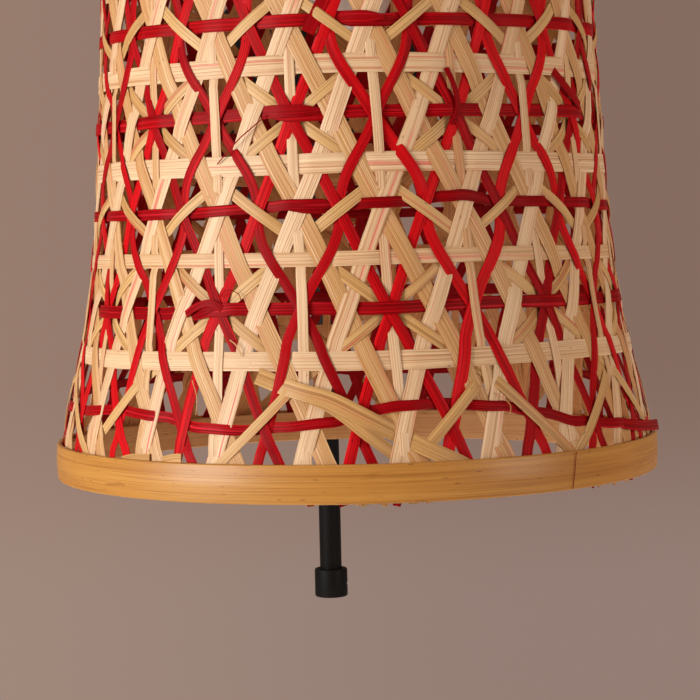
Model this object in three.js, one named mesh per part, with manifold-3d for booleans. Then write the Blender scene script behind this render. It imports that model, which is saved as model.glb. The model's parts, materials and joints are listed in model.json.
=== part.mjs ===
// Woven bamboo lantern on a wall swing arm. Millimetres, +Z up, +Y into the wall.
// The origin is the centre of the wall fixture's back face, so the lamp hangs on the -Y side.
//
// Three bodies: the wall fixture (cover, stand-offs, rod), the arm that swings about the rod,
// and the lamp (lampholder, bulb, spider, woven shade) that hangs from a pin at the arm's end.

import * as THREE from 'three';
import { mergeVertices } from 'three/addons/utils/BufferGeometryUtils.js';
import Module from 'manifold-3d';

const wasm = await Module();
wasm.setup();

// ---- driving dimensions ----

const GAP = 0.3;                 // clearance between pieces that touch
const RUNNING_GAP = 0.5;         // radial clearance where one piece turns on another

const COVER_R = 75;              // round wall cover
const COVER_DEPTH = 20;
const COVER_WALL = 1.6;
const COVER_CORNER = 6;
const BAR_LENGTH = 128;          // mounting bar behind the cover
const BAR_HEIGHT = 24;
const BAR_THICKNESS = 2;
const SLOT_X = 36;               // wall-screw slots in the bar
const SLOT_LENGTH = 16;
const SLOT_WIDTH = 6;
const COVER_SCREW_X = 58;
const BLOCK = [30, 11, 14];      // terminal block: width, depth and height
const BLOCK_HOLES_X = [-9, 0, 9];
const BLOCK_HOLE_R = 1.8;
const BLOCK_HOLE_DEPTH = 5;

const ROD_Y = -50;               // axis of the vertical rod
const ROD_R = 6.5;
const ROD_BOTTOM = -302;
const ROD_TOP = 169;
const END_COLLAR_R = 9.8;
const END_COLLAR_HEIGHT = 17;
const TOP_CAP_R = 10;
const TOP_CAP_HEIGHT = 14.5;
const STANDOFF_Z = 48;           // stand-offs at plus and minus this height
const STANDOFF_R = 6;
const STANDOFF_FOOT_R = 12;
const STANDOFF_RING_R = 11;
const STANDOFF_RING_HEIGHT = 16;

const ARM_Z = 142;               // axis of the arm
const HUB_R = 13;
const HUB_HEIGHT = 36;
const HUB_COLLAR_R = 11;
const HUB_COLLAR_HEIGHT = 12;
const WASHER_THICKNESS = 1.4;
const ARM_R = 6;
const ARM_BOSS_R = 9;
const ARM_BOSS_REACH = 30;       // the boss's end, from the rod's axis
const PIN_R = 4;                 // turned end of the arm that the lamp hangs on
const PIN_SHOULDER_R = 7.5;

const LAMP_Y = -255;             // vertical axis of the lamp and shade
const HANGER_THICKNESS = 16;
const HANGER_R = 11;
const DROP_ROD_R = 5;
const HOLDER_R = 20;
const HOLDER_TOP = 96;
const HOLDER_BOTTOM = 57;
const SHADE_RING_R = 27;
const SPIDER_Z = 74.3;           // height of the spider's wires
const SPIDER_RING_R = 30;
const SPIDER_WIRE_R = 1.6;
const SPIDER_WIRES = 3;
const BULB_R = 22.5;
const BULB_Z = 37;               // centre of the bulb's round glass
const BULB_CAP_R = 13;
const BULB_NECK_Z = 62;
const BULB_CAP_HEIGHT = 24;
const BULB_CAP_END_R = 7;
const BULB_TIP_R = 3;
const GLASS_THICKNESS = 1;

const SHADE_BOTTOM = -202;       // lower edge of the rim hoop
const SHADE_HEIGHT = 284;
const RIM_R = 150;               // outer radius of the rim hoop
const RIM_HEIGHT = 17.6;
const TOP_HOOP_HEIGHT = 14;
const HOOP_THICKNESS = 2.8;
const HOOP_BEVEL = 0.8;
const INNER_HOOP_INSET = 0.5;    // the inner hoops are a little lower than the outer ones
const WALL_THICKNESS = 1.2;      // the woven wall, taken as one thin shell
const RING_THICKNESS = 0.7;      // a horizontal splint outside that shell
const RING_WALL_GAP = 0.55;
const NATURAL_RING_WIDTH = 7.5;
const RED_RING_WIDTH = 5.2;
const ROW_PITCH = 43.1;          // height of one row of the weave
const FIRST_NATURAL_ROW = 61.6;  // heights above the rim's lower edge
const FIRST_RED_ROW = 40.1;
const NATURAL_ROWS = 5;
const RED_ROWS = 6;

const SHADE_SEGMENTS = 36;
const COVER_SEGMENTS = 32;
const ROUND_SEGMENTS = 16;
const SMALL_SEGMENTS = 8;
const CORNER_STEPS = 3;
const BULB_STEPS = 8;
const SMALL_CHAMFER = 0.3;
const HOLE_CHAMFER = 0.1;
const OVERCUT = 1;               // how far a cutting tool goes past the face that it cuts

// Mean radius of the woven wall at height h above the rim's lower edge: a slow straight taper
// plus a flare that dies away upwards. Behind the rim hoop the wall is straight.
const TAPER = 0.055;
const TAPER_R = 133.86;
const FLARE = 14.2;
const FLARE_HEIGHT = 67;
function wallRadius(h) {
  const height = Math.max(h, RIM_HEIGHT);
  return TAPER_R - TAPER * height + FLARE * Math.exp(-((height / FLARE_HEIGHT) ** 2));
}

// ---- materials ----

const blackSteel = { color: 0x1c1815, roughness: 0.55, metalness: 0.6 };
const zincSteel = { color: 0xa9adb0, roughness: 0.4, metalness: 0.9 };
const nylon = { color: 0xd8d4c8, roughness: 0.7, metalness: 0 };
const brass = { color: 0xb89550, roughness: 0.35, metalness: 0.9 };
const blackPlastic = { color: 0x1a1a1c, roughness: 0.5, metalness: 0 };
const opalGlass = { color: 0xf2ead8, roughness: 0.2, metalness: 0 };
const hoopBamboo = { color: 0xc98f43, roughness: 0.35, metalness: 0 };
const naturalSplint = { color: 0xe0bd86, roughness: 0.6, metalness: 0 };
const redSplint = { color: 0xb31322, roughness: 0.5, metalness: 0 };

const model = new THREE.Group();

function add(name, geometry, look, parent) {
  const mesh = new THREE.Mesh(geometry, new THREE.MeshStandardMaterial(look));
  mesh.name = name;
  parent.add(mesh);
  return mesh;
}

// ---- shapes ----

// Turned about Z: the points are [radius, z], from the axis back to the axis.
function turned(points, segments = ROUND_SEGMENTS) {
  const profile = points.map(([r, z]) => new THREE.Vector2(r, z));
  return new THREE.LatheGeometry(profile, segments).rotateX(Math.PI / 2);
}

// A plain round bar along Z, from z0 to z1, with a small chamfer at both ends.
function bar(r, z0, z1, segments = ROUND_SEGMENTS, chamfer = 0.6) {
  return turned([[0, z0], [r - chamfer, z0], [r, z0 + chamfer], [r, z1 - chamfer],
    [r - chamfer, z1], [0, z1]], segments);
}

// A ring about Z: the closed outline goes up its outside and down its inside.
function ring(inner, outer, z0, z1, segments = ROUND_SEGMENTS) {
  return turned([[outer, z0], [outer, z1], [inner, z1], [inner, z0], [outer, z0]], segments);
}

// The same shapes laid along Y, with their +Z end at +Y.
const alongY = (geometry) => geometry.rotateX(-Math.PI / 2);
const alongX = (geometry) => geometry.rotateY(Math.PI / 2);

function box(x, y, z) {
  return new THREE.BoxGeometry(x, y, z);
}

function solid(geometry) {
  const plain = new THREE.BufferGeometry();
  plain.setAttribute('position', geometry.getAttribute('position'));
  plain.setIndex(geometry.getIndex());
  const merged = mergeVertices(plain, 1e-4);
  const vertProperties = new Float32Array(merged.getAttribute('position').array);
  const triVerts = new Uint32Array(merged.getIndex().array);
  return new wasm.Manifold(new wasm.Mesh({ numProp: 3, vertProperties, triVerts }));
}

function fromSolid(manifold) {
  const mesh = manifold.getMesh();
  const geometry = new THREE.BufferGeometry();
  geometry.setAttribute('position', new THREE.BufferAttribute(mesh.vertProperties, mesh.numProp));
  geometry.setIndex(new THREE.BufferAttribute(mesh.triVerts, 1));
  geometry.computeVertexNormals();
  return geometry;
}

// Joins the first shapes and then cuts the others out of them.
function carved(joined, cuts) {
  let body = solid(joined[0]);
  for (const shape of joined.slice(1)) body = body.add(solid(shape));
  for (const shape of cuts) body = body.subtract(solid(shape));
  return fromSolid(body);
}

// ---- wall fixture ----

const fixture = new THREE.Group();
model.add(fixture);

const COVER_SCREW_R = 2;
const SCREW_HEAD_R = 4.6;
const SCREW_HEAD_HEIGHT = 2.6;
const BOLT_R = 3;
const BOLT_HEAD_R = 6.5;
const BOLT_HEAD_HEIGHT = 3.6;
const BOLT_DEPTH = 12;           // how far a bolt goes into its stand-off
const BUSH_R = 5;
const BUSH_BORE_R = 3;
const GRUB_R = 2.2;

// A screw along Y whose head lies on the cover's face.
function coverScrew(side, x) {
  const front = -COVER_DEPTH - GAP;
  const top = front - SCREW_HEAD_HEIGHT;
  const shape = alongY(turned([[0, top], [SCREW_HEAD_R * 0.7, top], [SCREW_HEAD_R, (top + front) / 2],
    [SCREW_HEAD_R, front], [COVER_SCREW_R, front], [COVER_SCREW_R, -GAP], [0, -GAP]], SMALL_SEGMENTS));
  add(`cover_screw_${side}`, shape, blackSteel, fixture).position.x = x;
}

function mountingBar() {
  const plate = box(BAR_LENGTH, BAR_THICKNESS, BAR_HEIGHT).translate(0, -BAR_THICKNESS / 2, 0);
  const cuts = [];
  for (const sign of [-1, 1]) {
    cuts.push(box(SLOT_LENGTH, 3 * BAR_THICKNESS, SLOT_WIDTH).translate(sign * SLOT_X, -BAR_THICKNESS, 0));
    cuts.push(alongY(bar(COVER_SCREW_R + GAP, -3 * BAR_THICKNESS, BAR_THICKNESS, SMALL_SEGMENTS, HOLE_CHAMFER))
      .translate(sign * COVER_SCREW_X, 0, 0));
  }
  add('mounting_bar', carved([plate], cuts), zincSteel, fixture);
}

function wallCover() {
  const corner = (r, y, radius, step) => {
    const angle = (step / CORNER_STEPS) * (Math.PI / 2);
    return [r - radius * (1 - Math.cos(angle)), y + radius * (1 - Math.sin(angle))];
  };
  const steps = Array.from({ length: CORNER_STEPS + 1 }, (_, step) => step);
  const outside = steps.map((step) => corner(COVER_R, -COVER_DEPTH, COVER_CORNER, step));
  const innerR = COVER_R - COVER_WALL;
  const innerCorner = COVER_CORNER - COVER_WALL;
  const inside = steps.map((step) => corner(innerR, -COVER_DEPTH + COVER_WALL, innerCorner, step)).reverse();
  const outline = [[0, -COVER_DEPTH + COVER_WALL], ...inside, [innerR, 0], [COVER_R, 0], ...outside,
    [0, -COVER_DEPTH]];
  const cup = alongY(turned(outline.reverse(), COVER_SEGMENTS));
  const cuts = [];
  for (const sign of [-1, 1]) {
    const hole = (r) => alongY(bar(r, -2 * COVER_DEPTH, -COVER_DEPTH / 2, SMALL_SEGMENTS, HOLE_CHAMFER));
    cuts.push(hole(COVER_SCREW_R + GAP).translate(sign * COVER_SCREW_X, 0, 0));
    cuts.push(hole(BOLT_R + GAP).translate(0, 0, sign * STANDOFF_Z));
  }
  cuts.push(bar(BUSH_R + GAP, COVER_R - 8, COVER_R + 8, SMALL_SEGMENTS).translate(0, -COVER_DEPTH / 2, 0));
  add('wall_cover', carved([cup], cuts), blackSteel, fixture);
}

function cordBush() {
  const flange = BUSH_R + 2;
  const top = COVER_R + 2.4;
  const bottom = COVER_R - 4;
  const bush = turned([[BUSH_R, bottom], [BUSH_R, COVER_R + GAP], [flange, COVER_R + GAP], [flange, top - 0.6],
    [flange - 0.8, top], [BUSH_BORE_R, top], [BUSH_BORE_R, bottom], [BUSH_R, bottom]], SMALL_SEGMENTS);
  add('cord_bush', bush, blackPlastic, fixture).position.y = -COVER_DEPTH / 2;
}

function terminalBlock() {
  const [width, depth, height] = BLOCK;
  const back = -BAR_THICKNESS - GAP;
  const front = back - depth;
  const block = box(width, depth, height).translate(0, (front + back) / 2, 0);
  const hole = () => alongY(bar(BLOCK_HOLE_R, front - OVERCUT, front + BLOCK_HOLE_DEPTH, SMALL_SEGMENTS,
    HOLE_CHAMFER));
  const cuts = BLOCK_HOLES_X.map((x) => hole().translate(x, 0, 0));
  add('terminal_block', carved([block], cuts), nylon, fixture);
}

// A post from the cover's face to a ring round the rod.
function standoff(name, z) {
  const face = -COVER_DEPTH - GAP;
  const post = alongY(turned([[0, ROD_Y], [STANDOFF_R, ROD_Y], [STANDOFF_R, face - 3],
    [STANDOFF_FOOT_R, face - 3], [STANDOFF_FOOT_R, face], [0, face]]));
  const half = STANDOFF_RING_HEIGHT / 2;
  const eye = bar(STANDOFF_RING_R, -half, half).translate(0, ROD_Y, 0);
  const rodHole = bar(ROD_R + GAP, -2 * half, 2 * half).translate(0, ROD_Y, 0);
  const boltHole = alongY(bar(BOLT_R + GAP, face - BOLT_DEPTH - OVERCUT, 0, SMALL_SEGMENTS));
  const grubHole = alongX(bar(GRUB_R + GAP, ROD_R - OVERCUT, 2 * STANDOFF_RING_R, SMALL_SEGMENTS))
    .translate(0, ROD_Y, 0);
  add(`standoff_${name}`, carved([post, eye], [rodHole, boltHole, grubHole]), blackSteel, fixture)
    .position.z = z;
  const inner = -COVER_DEPTH + COVER_WALL + GAP;
  const bolt = alongY(turned([[0, face - BOLT_DEPTH], [BOLT_R, face - BOLT_DEPTH], [BOLT_R, inner],
    [BOLT_HEAD_R, inner], [BOLT_HEAD_R, inner + BOLT_HEAD_HEIGHT], [0, inner + BOLT_HEAD_HEIGHT]],
  SMALL_SEGMENTS));
  add(`standoff_bolt_${name}`, bolt, zincSteel, fixture).position.z = z;
  grubScrew(`clamp_screw_${name}`, STANDOFF_RING_R, z);
}

// A grub screw along +X that holds a ring of the given radius on the rod.
function grubScrew(name, ringR, z) {
  const shape = alongX(bar(GRUB_R, ROD_R + 2 * GAP, ringR - GAP, SMALL_SEGMENTS, SMALL_CHAMFER));
  add(name, shape, zincSteel, fixture).position.set(0, ROD_Y, z);
}

function rodCollar(name, screwName, r, z0, height) {
  const collar = bar(r, z0, z0 + height, ROUND_SEGMENTS, 1).translate(0, ROD_Y, 0);
  const rodHole = bar(ROD_R + GAP, z0 - OVERCUT, z0 + height + OVERCUT).translate(0, ROD_Y, 0);
  const middle = z0 + height / 2;
  const grubHole = alongX(bar(GRUB_R + GAP, ROD_R - OVERCUT, 2 * r, SMALL_SEGMENTS));
  add(name, carved([collar], [rodHole, grubHole.translate(0, ROD_Y, middle)]), blackSteel, fixture);
  grubScrew(screwName, r, middle);
}

const HUB_BOTTOM = ARM_Z - HUB_HEIGHT / 2;
const HUB_TOP = ARM_Z + HUB_HEIGHT / 2;
const WASHER_BOTTOM = HUB_BOTTOM - GAP - WASHER_THICKNESS;

function pivotRod() {
  add('pivot_rod', bar(ROD_R, ROD_BOTTOM + 0.5, ROD_TOP), blackSteel, fixture).position.y = ROD_Y;
  rodCollar('rod_end_collar', 'rod_end_screw', END_COLLAR_R, ROD_BOTTOM, END_COLLAR_HEIGHT);
  rodCollar('hub_collar', 'hub_collar_screw', HUB_COLLAR_R, WASHER_BOTTOM - GAP - HUB_COLLAR_HEIGHT,
    HUB_COLLAR_HEIGHT);
  const base = HUB_TOP + 2 * GAP;
  const inner = ROD_R + GAP;
  const roof = ROD_TOP + GAP;
  const top = base + TOP_CAP_HEIGHT;
  const cap = turned([[inner, base], [TOP_CAP_R, base], [TOP_CAP_R, top - 7.5], [TOP_CAP_R * 0.9, top - 4],
    [TOP_CAP_R * 0.55, top - 1], [0, top], [0, roof], [inner, roof], [inner, base]]);
  add('rod_top_cap', cap, blackSteel, fixture).position.y = ROD_Y;
}

mountingBar();
wallCover();
coverScrew('left', -COVER_SCREW_X);
coverScrew('right', COVER_SCREW_X);
terminalBlock();
cordBush();
standoff('upper', STANDOFF_Z);
standoff('lower', -STANDOFF_Z);
pivotRod();

// ---- swing arm ----

const arm = new THREE.Group();
arm.position.set(0, 0, ARM_Z);
model.add(arm);

const BOSS_END = ROD_Y - ARM_BOSS_REACH;
const ARM_GRUB_Y = BOSS_END + 7;
const ARM_START = ROD_Y - HUB_R - 3;                 // inner end of the arm's rod, inside the boss
const HANGER_BACK = LAMP_Y + HANGER_THICKNESS / 2;
const HANGER_FRONT = LAMP_Y - HANGER_THICKNESS / 2;
const SHOULDER_END = HANGER_BACK + 1;
const ARM_END = SHOULDER_END + 8;                    // outer end of the arm's rod
const NUT_REACH = 12;

function armHub() {
  const half = HUB_HEIGHT / 2;
  const hub = bar(HUB_R, -half, half, ROUND_SEGMENTS, 1.2).translate(0, ROD_Y, 0);
  const boss = alongY(bar(ARM_BOSS_R, BOSS_END, ROD_Y, ROUND_SEGMENTS, 1));
  const rodHole = bar(ROD_R + RUNNING_GAP, -2 * half, 2 * half).translate(0, ROD_Y, 0);
  const armHole = alongY(bar(ARM_R + GAP, BOSS_END - 5, ARM_START + GAP));
  const grubHole = bar(GRUB_R + GAP, ARM_R - OVERCUT, 2 * ARM_BOSS_R, SMALL_SEGMENTS)
    .translate(0, ARM_GRUB_Y, 0);
  add('arm_hub', carved([hub, boss], [rodHole, armHole, grubHole]), blackSteel, arm);
  const grub = bar(GRUB_R, ARM_R + 2 * GAP, ARM_BOSS_R - GAP, SMALL_SEGMENTS, SMALL_CHAMFER);
  add('arm_set_screw', grub, zincSteel, arm).position.y = ARM_GRUB_Y;
}

function hubWasher() {
  const low = WASHER_BOTTOM - ARM_Z;
  const washer = ring(ROD_R + RUNNING_GAP, HUB_COLLAR_R + 1, low, low + WASHER_THICKNESS);
  add('hub_washer', washer, nylon, arm).position.y = ROD_Y;
}

function armRod() {
  add('arm_rod', alongY(bar(ARM_R, ARM_END, ARM_START, ROUND_SEGMENTS)), blackSteel, arm);
}

// The pin screwed into the arm's end: a shoulder, then the plain part that the hanger turns on.
function armPin() {
  const tip = HANGER_FRONT - NUT_REACH + 3;
  const pin = alongY(turned([[0, tip], [PIN_R - 0.5, tip], [PIN_R, tip + 0.5], [PIN_R, SHOULDER_END],
    [PIN_SHOULDER_R, SHOULDER_END], [PIN_SHOULDER_R, ARM_END - GAP], [0, ARM_END - GAP]]));
  add('arm_pin', pin, blackSteel, arm);
  const face = HANGER_FRONT - 1;
  const end = HANGER_FRONT - NUT_REACH;
  const boreR = PIN_R + GAP;
  const boreEnd = tip - GAP;
  const nut = alongY(turned([[0, end], [4.5, end + 0.8], [6.8, end + 3.4], [7.5, end + 6], [7.5, face],
    [boreR, face], [boreR, boreEnd], [0, boreEnd]]));
  add('arm_end_nut', nut, blackSteel, arm);
}

armHub();
hubWasher();
armRod();
armPin();

// ---- hanging lamp ----

const lamp = new THREE.Group();
lamp.position.set(0, LAMP_Y, 0);
model.add(lamp);

const HANGER_DROP = 20;          // the hanger's lower face, below the pin
const HANGER_HALF_WIDTH = 9;
const DROP_TOP = ARM_Z - HANGER_DROP + 9;
const CAP_HEIGHT = 20;
const CAP_NECK_R = 9;
const CONTACT_R = 3.5;
const GRIP_BORE_R = 1.9;
const GRIP_R = 3;
const GRIP_HEAD_R = 4.6;
const GRIP_Z = HOLDER_TOP + 4.5;

// An upright block, round over the pin, with the pin's bore through it and the drop rod's hole below.
function hangerBlock() {
  const outline = new THREE.Shape();
  const shoulder = Math.acos(HANGER_HALF_WIDTH / HANGER_R);
  outline.moveTo(-HANGER_HALF_WIDTH, -HANGER_DROP);
  outline.lineTo(HANGER_HALF_WIDTH, -HANGER_DROP);
  outline.absarc(0, 0, HANGER_R, -shoulder, Math.PI + shoulder, false);
  const bore = new THREE.Path();
  bore.absarc(0, 0, PIN_R + RUNNING_GAP, 0, 2 * Math.PI, true);
  outline.holes.push(bore);
  const block = new THREE.ExtrudeGeometry(outline, {
    depth: HANGER_THICKNESS, bevelEnabled: false, curveSegments: 12,
  });
  block.rotateX(Math.PI / 2).translate(0, HANGER_THICKNESS / 2, ARM_Z);
  const rodHole = bar(DROP_ROD_R + GAP, ARM_Z - HANGER_DROP - 2, DROP_TOP + GAP);
  add('hanger_block', carved([block], [rodHole]), blackSteel, lamp);
}

function dropRod() {
  add('drop_rod', bar(DROP_ROD_R, HOLDER_TOP + 8, DROP_TOP), blackSteel, lamp);
  const nutTop = ARM_Z - HANGER_DROP - GAP;
  const nutHole = bar(DROP_ROD_R + GAP, nutTop - 6, nutTop + 2);
  add('drop_lock_nut', carved([bar(9, nutTop - 4, nutTop, 6)], [nutHole]), blackSteel, lamp);
}

function lampholder() {
  const top = HOLDER_TOP + CAP_HEIGHT;
  const inside = HOLDER_R - 2;
  const hole = DROP_ROD_R + GAP;
  const capOutline = [[HOLDER_R, HOLDER_TOP + GAP], [HOLDER_R, HOLDER_TOP + 6],
    [HOLDER_R * 0.85, HOLDER_TOP + 12], [CAP_NECK_R, HOLDER_TOP + 15], [CAP_NECK_R, top], [hole, top],
    [hole, HOLDER_TOP + 12.5], [inside * 0.8, HOLDER_TOP + 9.5], [inside, HOLDER_TOP + 5.5],
    [inside, HOLDER_TOP + GAP], [HOLDER_R, HOLDER_TOP + GAP]];
  const gripY = HOLDER_R - 1;
  const gripHole = alongY(bar(GRIP_R + GAP, gripY - 8, gripY + 8, SMALL_SEGMENTS)).translate(0, 0, GRIP_Z);
  add('lampholder_cap', carved([turned(capOutline)], [gripHole]), blackSteel, lamp);

  const grip = alongY(turned([[GRIP_BORE_R, gripY - 3], [GRIP_R, gripY - 3], [GRIP_R, gripY + 1.4],
    [GRIP_HEAD_R, gripY + 1.4], [GRIP_HEAD_R, gripY + 5], [3.2, gripY + 9], [GRIP_BORE_R, gripY + 9],
    [GRIP_BORE_R, gripY - 3]], SMALL_SEGMENTS));
  add('cord_grip', grip, blackPlastic, lamp).position.z = GRIP_Z;

  const flangeR = SHADE_RING_R;
  const flangeZ = SPIDER_Z + 1 + GAP;
  const wellR = BULB_CAP_R + 1;
  const wellTop = HOLDER_TOP - 6;
  const body = turned([[0, HOLDER_TOP], [HOLDER_R, HOLDER_TOP], [HOLDER_R, flangeZ + 2.4],
    [flangeR, flangeZ + 2.4], [flangeR, flangeZ], [HOLDER_R, flangeZ], [HOLDER_R, HOLDER_BOTTOM],
    [wellR, HOLDER_BOTTOM], [wellR, wellTop], [0, wellTop]].reverse());
  add('lampholder_body', body, blackPlastic, lamp);
  const contact = bar(CONTACT_R, wellTop - 1.5, wellTop - GAP, SMALL_SEGMENTS, SMALL_CHAMFER);
  add('lampholder_contact', contact, brass, lamp);
}

function spider() {
  const low = SPIDER_Z - 1;
  add('shade_ring', ring(HOLDER_R + GAP, SHADE_RING_R, low - GAP - 7, low - GAP), blackPlastic, lamp);
  add('spider_ring', ring(HOLDER_R + GAP, SPIDER_RING_R, low, low + 2), blackSteel, lamp);
  const reach = TOP_HOOP_INNER_R - GAP;
  for (let i = 0; i < SPIDER_WIRES; i += 1) {
    const wire = alongX(bar(SPIDER_WIRE_R, SPIDER_RING_R + GAP, reach, SMALL_SEGMENTS, SMALL_CHAMFER));
    const mesh = add(`spider_wire_${i + 1}`, wire, blackSteel, lamp);
    mesh.position.z = SPIDER_Z;
    mesh.rotation.z = Math.PI / 2 + (i * 2 * Math.PI) / SPIDER_WIRES;
  }
}

// A round bulb, hollow and open at its neck, on a screw cap.
function bulb() {
  const arc = (radius, from, to) => {
    const points = [];
    for (let i = 0; i <= BULB_STEPS; i += 1) {
      const angle = from + ((to - from) * i) / BULB_STEPS;
      points.push([radius * Math.sin(angle), BULB_Z - radius * Math.cos(angle)]);
    }
    return points;
  };
  const neckR = BULB_CAP_R - 1;
  const innerR = BULB_R - GLASS_THICKNESS;
  const innerNeckR = neckR - GLASS_THICKNESS;
  const outside = arc(BULB_R, 0, Math.PI - Math.asin(neckR / BULB_R));
  const inside = arc(innerR, Math.PI - Math.asin(innerNeckR / innerR), 0);
  outside[0][0] = 0;
  inside[inside.length - 1][0] = 0;
  const neck = [[neckR, BULB_NECK_Z], [innerNeckR, BULB_NECK_Z]];
  add('bulb_glass', turned([...outside, ...neck, ...inside]), opalGlass, lamp);
  const capTop = BULB_NECK_Z + BULB_CAP_HEIGHT;
  const cap = turned([[0, BULB_NECK_Z + GAP], [BULB_CAP_R, BULB_NECK_Z + GAP], [BULB_CAP_R, capTop - 4],
    [BULB_CAP_END_R, capTop], [0, capTop]]);
  add('bulb_cap', cap, zincSteel, lamp);
  const tip = bar(BULB_TIP_R, capTop + GAP, capTop + 1.6, SMALL_SEGMENTS, SMALL_CHAMFER);
  add('bulb_contact', tip, brass, lamp);
}

// ---- woven shade ----

const shade = new THREE.Group();
shade.position.z = SHADE_BOTTOM;
lamp.add(shade);

const HALF_WALL = WALL_THICKNESS / 2;
const TOP_HOOP_BOTTOM = SHADE_HEIGHT - TOP_HOOP_HEIGHT;
const TOP_WALL_R = wallRadius(TOP_HOOP_BOTTOM);
const TOP_HOOP_INNER_R = TOP_WALL_R - HALF_WALL - GAP - HOOP_THICKNESS;

function hoop(name, inner, outer, z0, z1) {
  const edge = outer - HOOP_BEVEL;
  const outline = [[outer, z0 + HOOP_BEVEL], [outer, z1 - HOOP_BEVEL], [edge, z1], [inner, z1], [inner, z0],
    [edge, z0], [outer, z0 + HOOP_BEVEL]];
  add(name, turned(outline, SHADE_SEGMENTS), hoopBamboo, shade);
}

function hoops() {
  const wallOuter = RIM_R - HOOP_THICKNESS;
  hoop('rim_hoop_outer', wallOuter, RIM_R, 0, RIM_HEIGHT);
  const rimInner = wallRadius(0) - HALF_WALL - GAP;
  hoop('rim_hoop_inner', rimInner - HOOP_THICKNESS, rimInner, INNER_HOOP_INSET,
    RIM_HEIGHT - 2 * INNER_HOOP_INSET);
  const topOuter = TOP_WALL_R + HALF_WALL + GAP;
  hoop('top_hoop_outer', topOuter, topOuter + HOOP_THICKNESS, TOP_HOOP_BOTTOM, SHADE_HEIGHT);
  hoop('top_hoop_inner', TOP_HOOP_INNER_R, TOP_HOOP_INNER_R + HOOP_THICKNESS,
    TOP_HOOP_BOTTOM + INNER_HOOP_INSET, SHADE_HEIGHT);
}

// The woven splints taken together: a thin shell of the wall's true shape, open at top and bottom.
function weaveWall() {
  const heights = [1, RIM_HEIGHT, 32, 48, 66, 90, 125, 190, TOP_HOOP_BOTTOM, SHADE_HEIGHT - 1];
  const radius = (h) => wallRadius(Math.min(h, TOP_HOOP_BOTTOM));
  const outside = heights.map((h) => [radius(h) + HALF_WALL, h]);
  const inside = heights.map((h) => [radius(h) - HALF_WALL, h]).reverse();
  add('weave_wall', turned([...outside, ...inside, outside[0]], SHADE_SEGMENTS), naturalSplint, shade);
}

// The horizontal splints lie just outside that shell, one hoop to a row.
function splintRings(name, count, firstRow, width, look) {
  for (let i = 0; i < count; i += 1) {
    const middle = firstRow + i * ROW_PITCH;
    const low = middle - width / 2;
    const high = middle + width / 2;
    const offset = HALF_WALL + RING_WALL_GAP;
    const outline = [[wallRadius(low) + offset + RING_THICKNESS, low],
      [wallRadius(high) + offset + RING_THICKNESS, high], [wallRadius(high) + offset, high],
      [wallRadius(low) + offset, low], [wallRadius(low) + offset + RING_THICKNESS, low]];
    add(`${name}_splint_ring_${i + 1}`, turned(outline, SHADE_SEGMENTS), look, shade);
  }
}

hangerBlock();
dropRod();
lampholder();
spider();
bulb();
hoops();
weaveWall();
splintRings('natural', NATURAL_ROWS, FIRST_NATURAL_ROW, NATURAL_RING_WIDTH, naturalSplint);
splintRings('red', RED_ROWS, FIRST_RED_ROW, RED_RING_WIDTH, redSplint);

export default model;
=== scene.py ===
"""Woven bamboo wall lantern: the looks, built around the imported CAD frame. Metres, +Z up."""

import json
import math
import random

import bmesh
import bpy
import numpy as np
from mathutils import Matrix, Vector


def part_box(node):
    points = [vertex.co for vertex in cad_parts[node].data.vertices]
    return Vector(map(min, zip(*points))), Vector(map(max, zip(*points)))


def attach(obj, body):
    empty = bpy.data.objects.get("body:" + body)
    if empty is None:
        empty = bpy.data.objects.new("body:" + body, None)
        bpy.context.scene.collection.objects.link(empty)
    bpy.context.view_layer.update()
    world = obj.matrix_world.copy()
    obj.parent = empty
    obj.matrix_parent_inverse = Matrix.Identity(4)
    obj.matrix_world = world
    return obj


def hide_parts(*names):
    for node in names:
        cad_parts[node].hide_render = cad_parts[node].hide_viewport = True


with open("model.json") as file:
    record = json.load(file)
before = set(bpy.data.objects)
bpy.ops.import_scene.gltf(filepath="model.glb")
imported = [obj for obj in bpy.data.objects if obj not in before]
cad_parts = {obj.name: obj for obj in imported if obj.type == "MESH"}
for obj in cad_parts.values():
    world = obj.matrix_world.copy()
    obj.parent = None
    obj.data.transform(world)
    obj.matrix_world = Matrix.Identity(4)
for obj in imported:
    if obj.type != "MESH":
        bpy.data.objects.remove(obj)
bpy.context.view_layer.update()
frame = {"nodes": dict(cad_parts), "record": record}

MM = 0.001


# ---------------- places taken from the frame

def middle(node):
    low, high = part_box(node)
    return (low + high) / 2


RIM_LOW, RIM_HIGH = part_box("rim_hoop_outer")
SHADE_X, SHADE_Y = middle("rim_hoop_outer")[:2]
SHADE_Z = RIM_LOW.z
SHADE_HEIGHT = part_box("top_hoop_outer")[1].z - SHADE_Z
RIM_R = (RIM_HIGH.x - RIM_LOW.x) / 2
RIM_HEIGHT = RIM_HIGH.z - RIM_LOW.z
TOP_HOOP_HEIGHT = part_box("top_hoop_outer")[1].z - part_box("top_hoop_outer")[0].z
TOP_HOOP_LOW = SHADE_HEIGHT - TOP_HOOP_HEIGHT
TOP_HOOP_R = (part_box("top_hoop_outer")[1].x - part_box("top_hoop_outer")[0].x) / 2
HOOP_THICKNESS = 2.8 * MM

# ---------------- camera, light and stage

CAMERA_DISTANCE = 1.080
CAMERA_AZIMUTH = math.radians(-4.84)
CAMERA_HEIGHT = 0.1195           # above the rim's lower edge
CAMERA_PITCH = math.radians(3.2)
CAMERA_YAW = math.radians(0.13)
CAMERA_ROLL = math.radians(1.28)
CAMERA_LENS = 110.7

FLOOR_Z = -1.15
BACKDROP_Y = 3.0
BACKDROP_TOP = 5.0
STAGE_REACH = 9.0


def added(name, data):
    """A new object in the scene."""
    made = bpy.data.objects.new(name, data)
    bpy.context.scene.collection.objects.link(made)
    return made


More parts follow.
